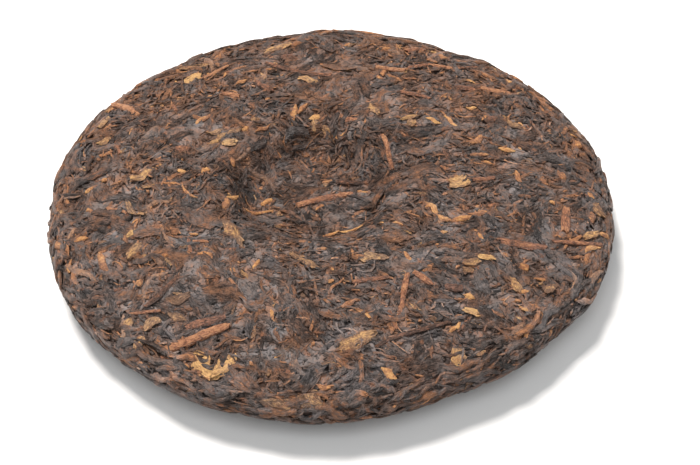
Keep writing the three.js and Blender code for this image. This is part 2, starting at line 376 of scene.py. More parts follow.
def node(tree, kind, inputs=(), **settings):
    """A new shader node with its settings, and with values or links on its named or numbered
    inputs."""
    made = tree.nodes.new(kind)
    for key, value in settings.items():
        setattr(made, key, value)
    for key, value in dict(inputs).items():
        if isinstance(value, bpy.types.NodeSocket):
            tree.links.new(value, made.inputs[key])
        else:
            made.inputs[key].default_value = value
    return made


def noise(tree, place, scale, detail=2.0, roughness=0.5, output="Fac"):
    """Soft noise at the place."""
    inputs = {"Vector": place, "Scale": scale, "Detail": detail, "Roughness": roughness}
    return node(tree, "ShaderNodeTexNoise", inputs).outputs[output]


def reckoned(tree, operation, *values, kind="ShaderNodeMath"):
    """The result of an operation on values or links."""
    return node(tree, kind, dict(enumerate(values)), operation=operation).outputs[0]


def mapped(tree, value, low, high, to_low=0.0, to_high=1.0):
    """A value carried in proportion from one range to another, and kept inside it."""
    inputs = {"Value": value, "From Min": low, "From Max": high, "To Min": to_low, "To Max": to_high}
    return node(tree, "ShaderNodeMapRange", inputs).outputs["Result"]


def moved(tree, level, effects):
    """A level moved by effects: each is a socket, its middle value and its strength."""
    for socket, middle, strength in effects:
        centred = reckoned(tree, "SUBTRACT", socket, middle)
        level = reckoned(tree, "MULTIPLY_ADD", centred, strength, level)
    return level


def ramp(tree, factor, stops):
    """A colour ramp through (place, colour) stops."""
    made = node(tree, "ShaderNodeValToRGB", {"Fac": factor})
    elements = made.color_ramp.elements
    while len(elements) < len(stops):
        elements.new(0.5)
    for element, (place, shade) in zip(elements, sorted(stops)):
        element.position = place
        element.color = shade
    return made.outputs["Color"]


def mixed(tree, mask, under, over, blend="MIX"):
    """Two colours mixed by a mask. Each of the three is a link or a value."""
    inputs = {0: mask, 6: under, 7: over}
    return node(tree, "ShaderNodeMix", inputs, data_type="RGBA", blend_type=blend).outputs[2]


def object_place(tree):
    """The place on the cake, in metres."""
    return node(tree, "ShaderNodeTexCoord").outputs["Object"]


def own_value(tree, name):
    """A value that the piece's mesh holds at each point."""
    return node(tree, "ShaderNodeAttribute", attribute_name=name).outputs["Fac"]


def new_group(name, outputs, kind="NodeSocketFloat", inputs=()):
    """An empty node group with named outputs, all of one kind, and inputs with their usual values."""
    group = bpy.data.node_groups.new(name, "ShaderNodeTree")
    for socket, usual in inputs:
        made = group.interface.new_socket(socket, in_out="INPUT", socket_type="NodeSocketFloat")
        made.default_value = usual
    for socket in outputs:
        group.interface.new_socket(socket, in_out="OUTPUT", socket_type=kind)
    return group


def new_material(name):
    """An empty material with its Principled shader and its node tree."""
    material = bpy.data.materials.new(name)
    material.use_nodes = True
    tree = material.node_tree
    return material, tree, tree.nodes["Principled BSDF"]


TINTS = [
    (0.0, colour(87, 85, 87)),
    (0.25, colour(100, 91, 88)),
    (0.5, colour(116, 94, 85)),
    (0.75, colour(131, 91, 70)),
    (1.0, colour(144, 92, 55)),
]
RUST = colour(152, 98, 66)
LEAF_TINGE = 0.62
HUE_DRIFT = 3.0


def tint_group():
    """The tint of leaf, from grey to rust: the piece's own hue, moved by a noise about a centimetre
    wide. Leaf paler than the middle of the ramps is always warm: the level above it adds to the hue."""
    group = new_group("leaf_tint", ["Tint"], "NodeSocketColor", [("Level", 0.0)])
    level = node(group, "NodeGroupInput").outputs["Level"]
    drift = noise(group, object_place(group), scale=115.0, detail=4.0, roughness=0.6)
    pale = mapped(group, level, low=0.42, high=0.8, to_high=0.5)
    hue = moved(group, own_value(group, "hue"), [(drift, 0.5, HUE_DRIFT), (pale, 0.0, 1.0)])
    node(group, "NodeGroupOutput", {"Tint": ramp(group, hue, TINTS)})
    return group


def stain_group():
    """What the whole cake shares, read from the place on it. Patches are soft noise some centimetres
    wide. Stains are the peaks of a noise some millimetres wide."""
    group = new_group("leaf_stain", ["Patch", "Stain"])
    place = object_place(group)
    patch = noise(group, place, scale=75.0, detail=6.0, roughness=0.7)
    spots = noise(group, place, scale=330.0, detail=4.0, roughness=0.65)
    peaks = mapped(group, spots, low=0.57, high=0.7, to_high=0.55)
    node(group, "NodeGroupOutput", {"Patch": patch, "Stain": peaks})
    return group


leaf_tint = tint_group()
leaf_stain = stain_group()


def leaf_shade(tree, level, stops, stain, tinge):
    """The colour of leaf: the ramp's at the level, given the tint's hue by the share of the tinge,
    with rust-brown stains on it."""
    tint = node(tree, "ShaderNodeGroup", {"Level": level}, node_tree=leaf_tint).outputs["Tint"]
    tinted = mixed(tree, tinge, ramp(tree, level, stops), tint, "COLOR")
    return mixed(tree, stain, tinted, RUST)


CELL_SCALE = 210.0
BEND_REACH = 0.016
WRINKLE_STRETCH = (1.0, 0.3, 1.0)
FULL_TURN = 6.3


def felt_group():
    """Leaf pressed to felt. Bent cells some millimetres wide each have their own shade and height, and
    wrinkles in their own direction: noise drawn out along a turned axis. Cracks run along some of the
    cells' edges. The height is wrinkles and cells, less the cracks."""
    group = new_group("pressed_felt", ["Cell", "Wrinkle", "Crack", "Height"])
    place = object_place(group)
    wander = noise(group, place, scale=CELL_SCALE, detail=3.0, roughness=0.6, output="Color")
    off = reckoned(group, "SUBTRACT", wander, (0.5, 0.5, 0.5), kind="ShaderNodeVectorMath")
    reach = (BEND_REACH, BEND_REACH, BEND_REACH)
    bent = reckoned(group, "MULTIPLY_ADD", off, reach, place, kind="ShaderNodeVectorMath")
    cell_inputs = {"Vector": bent, "Scale": CELL_SCALE}
    cells = node(group, "ShaderNodeTexVoronoi", cell_inputs)
    edges = node(group, "ShaderNodeTexVoronoi", cell_inputs, feature="DISTANCE_TO_EDGE")
    parts = node(group, "ShaderNodeSeparateColor", {"Color": cells.outputs["Color"]})
    angle = reckoned(group, "MULTIPLY", parts.outputs[0], FULL_TURN)
    turned = node(group, "ShaderNodeVectorRotate", {"Vector": place, "Angle": angle}, rotation_type="Z_AXIS")
    long_way = node(group, "ShaderNodeMapping", {"Vector": turned.outputs[0], "Scale": WRINKLE_STRETCH})
    wrinkle = noise(group, long_way.outputs[0], scale=1300.0, detail=4.0, roughness=0.62)
    near_edge = mapped(group, edges.outputs["Distance"], low=0.0, high=0.07, to_low=1.0, to_high=0.0)
    opened = mapped(group, noise(group, place, scale=420.0), low=0.48, high=0.6)
    crack = reckoned(group, "MULTIPLY", near_edge, opened)
    high = reckoned(group, "MULTIPLY_ADD", parts.outputs[1], 0.3, wrinkle)
    low = reckoned(group, "MULTIPLY_ADD", crack, -0.5, high)
    ends = {"Cell": parts.outputs[2], "Wrinkle": wrinkle, "Crack": crack, "Height": low}
    node(group, "NodeGroupOutput", ends)
    return group


FELT = [
    (0.0, colour(32, 25, 22)),
    (0.2, colour(64, 52, 46)),
    (0.45, colour(102, 84, 75)),
    (0.68, colour(124, 101, 89)),
    (0.85, colour(146, 112, 88)),
    (1.0, colour(174, 132, 98)),
]
FELT_ROUGHNESS = 0.7
FELT_BUMP = 0.7 * MM
mass_material, tree, shader = new_material("pressed_felt")
felt = node(tree, "ShaderNodeGroup", node_tree=felt_group())
shared = node(tree, "ShaderNodeGroup", node_tree=leaf_stain)
mass_level = moved(
    tree,
    own_value(tree, "tone"),
    [
        (shared.outputs["Patch"], 0.5, 1.4),
        (felt.outputs["Cell"], 0.5, 0.25),
        (felt.outputs["Wrinkle"], 0.5, 0.8),
        # Painted shade: the felt is darker along its cracks, where shade falls.
        (felt.outputs["Crack"], 0.0, -0.5),
    ],
)
felt_shade = leaf_shade(tree, mass_level, FELT, shared.outputs["Stain"], LEAF_TINGE)
tree.links.new(felt_shade, shader.inputs["Base Color"])
shader.inputs["Roughness"].default_value = FELT_ROUGHNESS
mass_bump = node(tree, "ShaderNodeBump", {"Height": felt.outputs["Height"], "Distance": FELT_BUMP})
tree.links.new(mass_bump.outputs["Normal"], shader.inputs["Normal"])
mass.data.materials.append(mass_material)


# Broad leaf
# Torn bits of the big, older leaves, dark grey-brown and a little glossy where the press rubbed them.
# They lie flat under the cloth's pressed surface, wrinkled lengthwise, and overlap. Those that stand
# out lie where the photograph shows them.

# How proud leaf stands of the smooth form in millimetres, how soft the press's limit is, and how much
# prouder the leaf stands at the rim.
PRESSED_PROUD = 0.45
PRESS_SOFTNESS = 0.22
RIM_LOOSE = 0.6
# Each place is a golden turn past the one before, shaken by a share of their spacing. Near the middle
# it is shaken round it no more than at the least radius.
GOLDEN_TURN = np.pi * (3 - np.sqrt(5))
JITTER = 0.6
LEAST_RADIUS = 4
# Neighbours lie alike: the width of the waves in their direction, how far these turn it, how far
# single bits stray, and how far, as a share of half a turn, two in five bits are turned from the rest.
# At the rim, bits turn to lie along it by a share of the way.
FLOW_WIDTH = 42.0
FLOW_SEED = 13
FLOW_TURN = 1.6
STRAY = 0.45
CROSSED = 0.35
RIM_ALIGNED = 0.65
ALIGNED_BAND = (CAKE_RADIUS * 0.9, CAKE_RADIUS * 0.08)
HUE_SPREAD = 0.14
ring_areas = steps * (section[:-1, 0] + section[1:, 0]) / 2


def spread(rng, count, rim_gain=1.0, felt_lift=-0.12):
    """Places spread over the whole surface: equal steps of area from the middle of the dent to the
    middle of the foot, each a golden turn further round, and both shaken a little. The rim can hold
    more than its share. Neighbours lie much the same way, as they were rolled, and stray from it a
    little. Near the rim they turn to lie along it. Where the cake is smooth they lie higher by the
    felt lift, which is below 0 for bits that sink in."""
    gains = 1 + (rim_gain - 1) * at_rim(section_ways[1:])
    area_sums = np.concatenate([[0], np.cumsum(ring_areas * gains)])
    share = (np.arange(count) + 0.5 + rng.uniform(-JITTER, JITTER, count)) / count
    way = np.interp(np.clip(share, 0, 1) * area_sums[-1], area_sums, section_ways)
    radius = radius_at(way)
    angle = np.arange(count) * GOLDEN_TURN + rng.uniform(0, 2 * np.pi)
    spacing = np.sqrt(2 * np.pi * area_sums[-1] / count)
    angle += rng.uniform(-JITTER, JITTER, count) * spacing / np.maximum(radius, LEAST_RADIUS)
    here = on_surface(way, angle, 0) / MM
    flow = ripple(here, np.random.default_rng(FLOW_SEED), FLOW_WIDTH) * FLOW_TURN - angle
    turn = (flow + rng.normal(0, STRAY, count)) / np.pi
    turn = turn + rng.choice([-CROSSED, 0, 0, 0, CROSSED], count)
    turn = (turn - np.round(turn)) * np.pi
    along_rim = rising(radius, *ALIGNED_BAND)
    turn = turn * (1 - RIM_ALIGNED * along_rim) + along_rim * np.pi / 2 * np.where(turn > 0, 1, -1)
    lift = felt_lift * smoothness(here) * (1 - sunk_below(way) / UNDERSIDE_SINK)
    proud = PRESSED_PROUD + RIM_LOOSE * at_rim(way)
    return {"way": way, "angle": angle % (2 * np.pi), "turn": turn, "lift": lift, "proud": proud}


# The surface that the camera sees, as a fine grid: how far it reaches along the section, and its steps
# in millimetres along the section and in radians round the cake.
SEEN_REACH = SECTION_LENGTH * 0.62
SEEN_STEP = 0.5
SEEN_TURN = 0.006
SEEN_HEIGHT = 0.2
seen_ways, seen_angles = np.meshgrid(
    np.arange(0, SEEN_REACH, SEEN_STEP), np.arange(0, 2 * np.pi, SEEN_TURN), indexing="ij"
)
seen_points = on_surface(seen_ways, seen_angles, SEEN_HEIGHT)
seen_facing = on_surface(seen_ways, seen_angles, SEEN_HEIGHT + 1) - seen_points
seen_front = ((eye - seen_points) * seen_facing).sum(axis=-1) > 0
seen_ways = seen_ways[seen_front]
seen_angles = seen_angles[seen_front]
seen_across, seen_down, seen_depth = seen_at(seen_points[seen_front])
PIXEL_REACH = 1.5


def places_seen(table, lift, proud):
    """Where pieces lie whose two ends show at given pixels. Each end is the point of the surface
    nearest to the lens of those that show within a pixel and a half. A row of the table holds the
    pixels of both ends, the width and the tone. The pieces lie higher than their neighbours by the
    lift, and the press let them stand proud. Returns the places, lengths, widths and tones."""
    table = np.array(table, dtype=float)
    ends = []
    for x, y in table[:, :4].reshape(-1, 2):
        off = np.hypot(seen_across - x, seen_down - y)
        near = np.flatnonzero(off < max(PIXEL_REACH, off.min() + 0.2))
        ends.append(near[np.argmin(seen_depth[near])])
    way = seen_ways[ends].reshape(-1, 2)
    angle = seen_angles[ends].reshape(-1, 2)
    middle = (way * np.exp(1j * angle)).mean(axis=1)
    middle_way, middle_angle = np.abs(middle), np.angle(middle)
    radius = np.maximum(radius_at(middle_way), 1)
    apart = angle - middle_angle[:, None]
    outward = way * np.cos(apart) - middle_way[:, None]
    sideways = way * np.sin(apart) * (radius / middle_way)[:, None]
    step = np.stack([outward[:, 1] - outward[:, 0], sideways[:, 1] - sideways[:, 0]])
    place = {"way": middle_way, "angle": middle_angle, "turn": np.arctan2(step[1], step[0])}
    place["lift"] = np.full(len(table), lift)
    place["proud"] = np.full(len(table), proud)
    return place, np.hypot(*step), table[:, 4], table[:, 5]


def together(first, second):
    """The places of two groups of pieces as one."""
    return {key: np.concatenate([first[key], second[key]]) for key in first}


def then_drawn(rng, seen, low, high, count):
    """The values of the pieces that stand out, then values drawn between two limits for the rest."""
    return np.concatenate([seen, rng.uniform(low, high, count)])


def lay_down(place, along, across, above):
    """Pieces laid on the cake like maps. Ways from the nearer pole stay true and the sideways scale is
    true at the piece's middle, so a piece bends over the rim and into the dent without a crease. What
    stands above the pressed surface is pushed down to it, softly."""
    way, angle, turn, lift, proud = (
        place[key][:, None, None] for key in ("way", "angle", "turn", "lift", "proud")
    )
    from_foot = way > SECTION_LENGTH / 2
    own_way = np.where(from_foot, SECTION_LENGTH - way, way)
    radius = np.maximum(radius_at(way), 1)
    outward = along * np.cos(turn) - across * np.sin(turn)
    sideways = (along * np.sin(turn) + across * np.cos(turn)) * own_way / radius
    new_way = np.hypot(own_way + outward, sideways)
    new_angle = angle + np.where(from_foot, -1, 1) * np.arctan2(sideways, own_way + outward)
    new_way = np.where(from_foot, SECTION_LENGTH - new_way, new_way)
    pressed = proud - PRESS_SOFTNESS * np.logaddexp(0, (proud - above) / PRESS_SOFTNESS)
    return on_surface(new_way, new_angle, pressed + lift - sunk_below(new_way))


def cell_corners(grid):
    """The four corners of each cell of grids of map places, in the order of the faces between them."""
    corners = [grid[:, :-1, :-1], grid[:, 1:, :-1], grid[:, 1:, 1:], grid[:, :-1, 1:]]
    return np.stack(corners, axis=3).reshape(len(grid), -1, 4, 2)


# The map "grain" of each bar starts at a place of its own, up to this many millimetres away. Of its
# cell in the map "OFBake", the walls leave a strip at both ends, where the caps have their height.
GRAIN_SHIFT = 400
WALL_STRIP = 0.1
CAP_HEIGHT = 0.07
CELL_MARGIN = 0.06


def bars(name, place, shape, rng, material, sharp_angle=None):
    """One joined mesh of many small closed bars. Each bar is a row of stations with a ring of points
    round each, and two caps. The map "grain" holds the way round the ring and the way along in
    millimetres. The map "OFBake" gives each bar its own cell, unrolled. Edges sharper than the angle,
    in degrees, aren't smoothed."""
    along, across, above, tone = shape
    count, stations, ring = along.shape
    points = lay_down(place, along, across, above)
    first = np.arange(count)[:, None, None] * stations * ring
    station = first + np.arange(stations - 1)[None, :, None] * ring
    corner = np.arange(ring)[None, None, :]
    beside = (corner + 1) % ring
    walls = [station + corner, station + ring + corner, station + ring + beside, station + beside]
    walls = np.stack(walls, axis=-1).reshape(count, -1, 4)
    strip = np.arange(ring // 2 - 1)
    cap = np.stack([strip, strip + 1, ring - 2 - strip, ring - 1 - strip], axis=-1)[None]
    end_cap = first + (stations - 1) * ring + cap[..., ::-1]
    quads = np.concatenate([walls, first + cap, end_cap], axis=1)

    across_step = np.diff(across, axis=2, append=across[:, :, :1])
    above_step = np.diff(above, axis=2, append=above[:, :, :1])
    arc = np.cumsum(np.hypot(across_step, above_step), axis=2)
    arc = np.concatenate([np.zeros((count, stations, 1)), arc], axis=2)
    shift = rng.uniform(0, GRAIN_SHIFT, (count, 1, 1, 2))
    wall_grain = cell_corners(np.stack([arc, np.broadcast_to(along[:, :, :1], arc.shape)], axis=-1) + shift)
    flat = np.stack([across, above], axis=-1) + shift
    start_grain = flat[:, 0][:, cap[0]]
    end_grain = flat[:, -1][:, cap[0][:, ::-1]]
    grain = np.concatenate([wall_grain, start_grain, end_grain], axis=1)

    wall_height = 1 - 2 * WALL_STRIP
    rows = WALL_STRIP + wall_height * np.arange(stations) / (stations - 1)
    sheet = np.stack(np.meshgrid(np.arange(ring + 1) / ring, rows), axis=-1)
    left = strip / len(strip)
    right = (strip + 1) / len(strip)
    bottom = np.zeros(len(strip))
    top = bottom + CAP_HEIGHT
    cap_cell = [(left, bottom), (right, bottom), (right, top), (left, top)]
    cap_cell = np.stack([np.stack(corners, axis=-1) for corners in cap_cell], axis=1)
    end_cell = cap_cell[:, ::-1] + np.array([0, 1 - CAP_HEIGHT])
    cell = np.concatenate([cell_corners(sheet[None])[0], cap_cell, end_cell])
    side = int(np.ceil(np.sqrt(count)))
    cell_place = np.stack([np.arange(count) % side, np.arange(count) // side], axis=-1)[:, None, None, :]
    bake = (cell_place + CELL_MARGIN + (1 - 2 * CELL_MARGIN) * cell[None]) / side

    hue = leaf_hue(place["way"], place["angle"]) + rng.normal(0, HUE_SPREAD, count)
    hue = np.broadcast_to(hue[:, None, None], tone.shape)
    sizes = np.full(count * quads.shape[1], 4)
    maps = [("grain", grain), ("OFBake", bake)]
    piece = new_piece(name, points.reshape(-1, 3), quads.ravel(), sizes, maps, [("tone", tone), ("hue", hue)])
    piece.data.materials.append(material)
    if sharp_angle:
        piece.data.set_sharp_from_angle(angle=np.radians(sharp_angle))


def drawn(rng, amount, count):
    """One value for each piece: drawn between two limits, or taken from a row of values as it is."""
    if isinstance(amount, tuple):
        amount = rng.uniform(*amount, count)
    return np.asarray(amount, dtype=float)[:, None, None]


# How uneven bits are. BOW and WAVE bend the middle line by shares of the length. The rest is for flat
# bits: how far the width swells and shrinks, how slanted and torn the ends are, how far each point
# strays, how much finer relief there is beside each line's own, how tilted the bit is lengthwise and
# across, and how much each line and each point differs in tone.
BOW = 0.12
WAVE = 0.05
SWELL_STRAY = 0.08
SLANT = 0.35
TORN = 0.07
POINT_STRAY = 0.02
FINE_RELIEF = 0.6
TILT = 0.05
ROLL = 0.12
LINE_TONE = 0.08
POINT_TONE = 0.05


def flat_bits(rng, stations, lines, length, width, thickness, depth, relief, tone, fold=0.0,
              blunt=(0.35, 0.8), edges=(-0.1, 0.25)):
    """Thin torn bits, with their tone at each point. Lines of points run along the rounded top, two
    more along the bottom. The half width swells from the blunt ends to the middle, the middle line
    bends, the ends are torn. Each line has a height of its own, which makes wrinkles. A fold lifts one
    line above the rest. The bit is tilted both ways about its depth. The tone of the top edges moves
    within the edges' range: darker is painted shade in the cracks between bits, paler is torn edge."""
    count = len(tone)
    long, wide, thick, dull = (drawn(rng, amount, count) for amount in (length, width, thickness, blunt))
    ring_across = np.concatenate([np.linspace(-1, 1, lines), [0.6, -0.6]])[None, None, :]
    ring_up = np.concatenate([-0.6 * np.abs(np.linspace(-1, 1, lines)) ** 3, [-1, -1]])[None, None, :]
    on_top = ring_up > -0.9
    s = np.linspace(-0.5, 0.5, stations)[None, :, None]
    by_bit = (count, 1, 1)
    by_line = (count, 1, lines + 2)
    by_point = (count, stations, lines + 2)
    swell = dull + (1 - dull) * np.cos(np.pi * s * 0.98) ** 0.8
    swell = swell * (1 + rng.normal(0, SWELL_STRAY, (count, stations, 1)))
    bend = rng.normal(0, BOW, by_bit) * long * (4 * s * s - 0.5)
    bend = bend + rng.normal(0, WAVE, by_bit) * long * np.sin(7 * s)
    slant = rng.normal(0, SLANT, by_bit) * wide * ring_across * 0.5
    torn = np.abs(2 * s) ** 6 * rng.normal(0, TORN, by_point) * long
    along = s * long + slant + torn
    across = bend + ring_across * wide * 0.5 * swell
    across = across + rng.normal(0, POINT_STRAY, by_point) * wide
    wrinkle = rng.normal(0, relief, by_line) + rng.normal(0, relief * FINE_RELIEF, by_point)
    crease = fold * rng.uniform(0, 1, by_bit) * (0.5 - np.abs(ring_across - rng.uniform(-0.7, 0.7, by_bit)))
    tilt = rng.normal(0, TILT, by_bit) * s * long
    roll = rng.normal(0, ROLL, by_bit) * ring_across * wide * 0.5
    above = drawn(rng, depth, count) + tilt + roll + ring_up * thick + (wrinkle + crease) * on_top
    # Painted shade: darker edges stand for the shade in the cracks between bits; paler ones are torn edges.
    edge_shade_and_tear = (np.abs(ring_across) == 1) * rng.uniform(*edges, by_bit)
    streak = rng.normal(0, LINE_TONE, by_line) + rng.normal(0, POINT_TONE, by_point)
    return along, across, above, drawn(rng, tone, count) + edge_shade_and_tear + streak


# The limits of the tones of those bits that are rust brown.
RUST_TONES = (0.62, 0.95)


def leaf_tones(rng, place, low, high, rust):
    """Tones between 0 and 1, drawn from a beta curve. A share of the bits is rust brown. In the dent
    the leaf is darker: painted shade for the hollow."""
    count = len(place["way"])
    tone = rng.beta(low, high, count)
    tone = np.where(rng.random(count) < rust, rng.uniform(*RUST_TONES, count), tone)
    return tone - DENT_PAINTED_SHADE * in_dent(place["way"])


GRAIN_STRETCH = (1.0, 0.25, 1.0)
VEIN_SCALE = 2.2


def fibre_group():
    """Leaf fibre. From the map "grain": veins are noise drawn out along the piece, blots are soft
    noise. Lines are fine creases along it, which the leaf materials darken as painted shade, where a
    second drawn-out noise passes its middle. The height is veins, blots and a fine tooth together, less the
    lines."""
    outputs = ["Vein", "Blot", "Line", "Height"]
    group = new_group("leaf_fibre", outputs, inputs=[("Vein Scale", VEIN_SCALE)])
    vein_scale = node(group, "NodeGroupInput").outputs["Vein Scale"]
    grain = node(group, "ShaderNodeUVMap", uv_map="grain").outputs["UV"]
    long_grain = node(group, "ShaderNodeMapping", {"Vector": grain, "Scale": GRAIN_STRETCH}).outputs["Vector"]
    vein = noise(group, long_grain, scale=vein_scale, detail=3.0, roughness=0.65)
    blot = noise(group, grain, scale=0.6, detail=5.0, roughness=0.68)
    tooth = noise(group, object_place(group), scale=2200.0)
    rough = reckoned(group, "MULTIPLY_ADD", tooth, 0.35, vein)
    high = reckoned(group, "MULTIPLY_ADD", blot, 0.6, rough)
    fold = noise(group, long_grain, scale=1.1)
    apart = reckoned(group, "ABSOLUTE", reckoned(group, "SUBTRACT", fold, 0.5))
    line = mapped(group, apart, low=0.0, high=0.035, to_low=1.0, to_high=0.0)
    low = reckoned(group, "MULTIPLY_ADD", line, -0.3, high)
    node(group, "NodeGroupOutput", {"Vein": vein, "Blot": blot, "Line": line, "Height": low})
    return group


leaf_fibre = fibre_group()
FIBRE_BUMP = 1.1 * MM
LEAF_SPECULAR = 0.36
DOWN_ROUGHNESS = 0.5
GLOSSIER = 0.12
DULLER = 0.14
DOWN_TINT = colour(150, 140, 132)


def leaf_material(name, stops, roughness, sway=0.9, patchy=1.4, bump=1.0, vein_scale=VEIN_SCALE,
                  lines=-0.2, tinge=LEAF_TINGE, sheen=0.0):
    """Dry leaf. The colour is read off a ramp at the piece's own tone, moved by its veins and blots by
    the given sway, by its lines, darkened there as painted shade in the creases, and by the cake's
    patches. The blots change the gloss, and the fibre is raised."""
    material, tree, shader = new_material(name)
    fibre = node(tree, "ShaderNodeGroup", node_tree=leaf_fibre)
    fibre.inputs["Vein Scale"].default_value = vein_scale
    shared = node(tree, "ShaderNodeGroup", node_tree=leaf_stain)
    effects = [
        (fibre.outputs["Vein"], 0.5, sway),
        (fibre.outputs["Blot"], 0.5, sway),
        # Painted shade: the leaf is darker along its creases.
        (fibre.outputs["Line"], 0.0, lines),
        (shared.outputs["Patch"], 0.5, patchy),
    ]
    level = moved(tree, own_value(tree, "tone"), effects)
    shade = leaf_shade(tree, level, stops, shared.outputs["Stain"], tinge)
    tree.links.new(shade, shader.inputs["Base Color"])
    gloss = mapped(tree, fibre.outputs["Blot"], 0.3, 0.7, roughness - GLOSSIER, roughness + DULLER)
    tree.links.new(gloss, shader.inputs["Roughness"])
    bump_inputs = {"Height": fibre.outputs["Height"], "Strength": bump, "Distance": FIBRE_BUMP}
    raised = node(tree, "ShaderNodeBump", bump_inputs)
    tree.links.new(raised.outputs["Normal"], shader.inputs["Normal"])
    shader.inputs["Specular IOR Level"].default_value = LEAF_SPECULAR
    shader.inputs["Sheen Weight"].default_value = sheen
    shader.inputs["Sheen Roughness"].default_value = DOWN_ROUGHNESS
    shader.inputs["Sheen Tint"].default_value = DOWN_TINT
    return material


# Pixels of both ends, width in millimetres and tone.
BROAD_SEEN = [
    (204, 291, 246, 298, 8.5, 0.42),
    (281, 289, 298, 313, 6.0, 0.45),
    (287, 320, 306, 340, 7.0, 0.4),
    (298, 304, 315, 325, 5.5, 0.45),
    (350, 312, 368, 320, 5.5, 0.55),
    (373, 306, 397, 308, 4.5, 0.62),
    (351, 288, 388, 283, 4.0, 0.52),
    (377, 237, 401, 232, 7.0, 0.58),
    (409, 150, 446, 148, 5.5, 0.6),
    (403, 172, 444, 170, 8.0, 0.5),
    (473, 159, 493, 173, 6.0, 0.36),
    (426, 236, 456, 232, 5.0, 0.3),
    (442, 252, 493, 253, 3.6, 0.48),
    (182, 211, 224, 220, 10.0, 0.62),
    (202, 196, 225, 194, 6.0, 0.62),
    (92, 212, 121, 208, 6.0, 0.45),
    (137, 232, 174, 228, 5.5, 0.52),
    (350, 196, 376, 194, 6.0, 0.42),
    (240, 298, 262, 304, 6.0, 0.6),
]
BROAD_COUNT = 680
BROAD_DEPTH = 0.2
broad_rng = np.random.default_rng(21)
seen_place, seen_length, seen_width, seen_tone = places_seen(BROAD_SEEN, lift=0.22, proud=0.55)
loose_broad = spread(broad_rng, BROAD_COUNT, rim_gain=0.5, felt_lift=0.2)
broad_shape = flat_bits(
    broad_rng,
    stations=9,
    lines=6,
    length=then_drawn(broad_rng, seen_length, 8, 19, BROAD_COUNT),
    width=then_drawn(broad_rng, seen_width, 3.4, 7.2, BROAD_COUNT),
    thickness=(0.7, 1.0),
    depth=then_drawn(broad_rng, np.full(len(BROAD_SEEN), BROAD_DEPTH), -0.3, 0.3, BROAD_COUNT),
    relief=0.14,
    tone=np.concatenate([seen_tone, leaf_tones(broad_rng, loose_broad, 8.0, 11.5, 0.01)]),
    fold=0.5,
    # The edges are mostly darker: painted shade in the cracks between bits.
    edges=(-0.3, 0.1),
)
DARK_LEAF = [
    (0.0, colour(40, 32, 28)),
    (0.2, colour(64, 52, 46)),
    (0.4, colour(94, 77, 69)),
    (0.6, colour(116, 95, 84)),
    (0.78, colour(132, 102, 84)),
    (0.9, colour(150, 110, 84)),
    (1.0, colour(172, 128, 94)),
]
broad_material = leaf_material("broad_leaf", DARK_LEAF, roughness=0.46, vein_scale=2.8, lines=-0.3)
bars("broad_leaf", together(seen_place, loose_broad), broad_shape, broad_rng, broad_material, 60)


# Folded leaf
# Smaller bits, folded and creased lengthwise, that lie between and over the broad ones. Many show a
# brown back. They sink in where the cake is smooth.
FOLDED_COUNT = 1700
folded_rng = np.random.default_rng(22)
folded_place = spread(folded_rng, FOLDED_COUNT, rim_gain=0.8, felt_lift=-0.3)
folded_shape = flat_bits(
    folded_rng,
    stations=7,
    lines=6,
    length=(4, 11),
    width=(1.6, 3.8),
    thickness=(0.7, 1.1),
    depth=(-0.4, 0.3),
    relief=0.18,
    tone=leaf_tones(folded_rng, folded_place, 7.0, 9.5, 0.05),
    fold=0.6,
    blunt=(0.12, 0.55),
    # The edges are mostly darker: painted shade in the cracks between bits.
    edges=(-0.3, 0.15),
)
folded_material = leaf_material("folded_leaf", DARK_LEAF, roughness=0.48, vein_scale=2.8)
bars("folded_leaf", folded_place, folded_shape, folded_rng, folded_material, 60)


# Rolled leaf
# Young leaf that was rolled before it was dried: long twisted strips, nearly black or brown, ridged
# along their twist and pressed a little flat. At the rim they are larger and lie looser.

# How uneven rolled bits are: how far the thickness strays, how torn the ends are, how steep the bit
# is, how much paler the lobes are, and how much paler the top and darker the underside are, which is
# painted light from above. The last two are how much each point and each station differs in tone.
THICKNESS_STRAY = 0.07
TORN_ENDS = 0.12
STEEPNESS = 0.035
LOBES_PALER = 0.3
PAINTED_TOP_LIGHT = 0.18
ROLLED_POINT_TONE = 0.06
STATION_TONE = 0.08


def rolled_bits(rng, stations, ring, length, width, depth, tone, flatness=0.62, lobes=0.2, twist=5.0,
                taper=0.35, bend=0.09):
    """Twisted strips. Round each station lies a flattened ring with two or three lobes, which turn
    along the strip. The ends taper, and the middle line wanders in two slow waves. Lobes are paler.
    Painted light: the top is paler and the underside darker, as if lit from above."""
    count = len(tone)
    by_bit = (count, 1, 1)
    by_point = (count, stations, ring)
    long, wide = drawn(rng, length, count), drawn(rng, width, count)
    s = np.linspace(-0.5, 0.5, stations)[None, :, None]
    turn = np.pi - 2 * np.pi * np.arange(ring)[None, None, :] / ring
    swirl = rng.normal(0, twist, by_bit) * s + rng.uniform(0, 2 * np.pi, by_bit)
    lobed = 1 + lobes * np.cos(2 * turn + 2 * swirl) + lobes * 0.6 * np.cos(3 * turn + 2 * swirl + 1)
    thin = taper + (1 - taper) * np.cos(np.pi * s * 0.96) ** 0.6
    half = wide * 0.5 * lobed * thin * (1 + rng.normal(0, THICKNESS_STRAY, (count, stations, 1)))
    sway = rng.normal(0, bend, by_bit) * long * (4 * s * s - 0.5)
    sway = sway + rng.normal(0, bend / 3, by_bit) * long * np.sin(9 * s)
    along = s * long + rng.normal(0, TORN_ENDS, by_point) * wide * np.abs(2 * s) ** 4
    across = sway + half * np.cos(turn)
    rise = rng.normal(0, STEEPNESS, by_bit) * s * long
    above = drawn(rng, depth, count) + rise + half * flatness * np.sin(turn)
    # Painted light: the top is paler and the underside darker, as if lit from above.
    streak = (lobed - 1) * LOBES_PALER + PAINTED_TOP_LIGHT * (np.sin(turn) - 0.3)
    streak = streak + rng.normal(0, ROLLED_POINT_TONE, by_point)
    streak = streak + rng.normal(0, STATION_TONE, (count, stations, 1))
    return along, across, above, drawn(rng, tone, count) + streak


